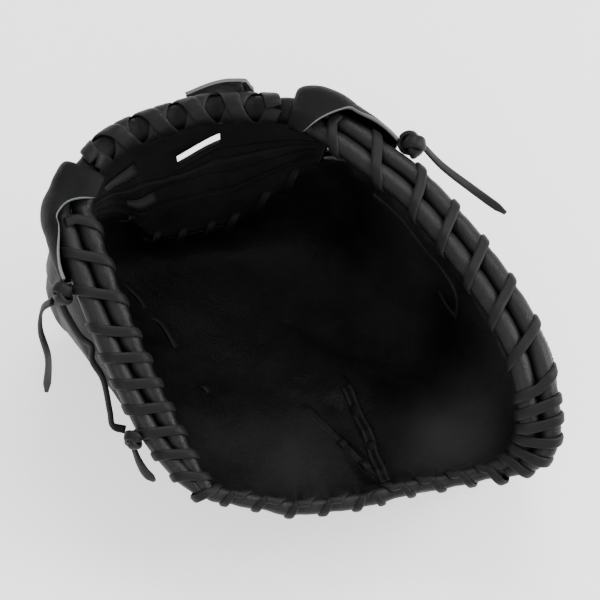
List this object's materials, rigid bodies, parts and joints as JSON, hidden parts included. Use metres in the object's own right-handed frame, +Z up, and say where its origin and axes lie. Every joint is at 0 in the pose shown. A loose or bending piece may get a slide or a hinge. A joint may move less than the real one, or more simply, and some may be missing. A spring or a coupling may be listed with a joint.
{
  "type": "first baseman mitt",
  "caption": "Black leather first baseman mitt for the left hand, lying on its back with the pocket up and laced all round its rim",
  "frame": {"origin": "under the middle of the mitt, on the surface that it lies on", "axes": "+Z up out of the pocket, +Y from the wrist to the web, +X to the finger side"},
  "size_m": [0.2918, 0.2316, 0.1559],
  "materials": {
    "palm_leather": "matte black leather",
    "shell_leather": "satin black leather",
    "rawhide_lace": "dull black rawhide"
  },
  "bodies": {
    "root": {"palm": "palm_leather", "finger_back": "shell_leather", "thumb_back": "shell_leather", "web": "shell_leather", "rim_roll_palm": "shell_leather", "rim_roll_finger": "shell_leather", "rim_roll_thumb": "shell_leather", "web_roll": "shell_leather", "finger_hood": "shell_leather", "thumb_hood": "shell_leather", "wrist_strap": "shell_leather", "web_tab": "shell_leather", "rim_lace": "rawhide_lace", "web_lace_under": "rawhide_lace", "web_lace_over": "rawhide_lace", "seam_lace": "rawhide_lace", "knot_right": "rawhide_lace", "knot_left": "rawhide_lace", "knot_lower": "rawhide_lace", "lace_tail_right": "rawhide_lace", "lace_tail_left": "rawhide_lace", "lace_tail_lower": "rawhide_lace"}
  },
  "joints": []
}
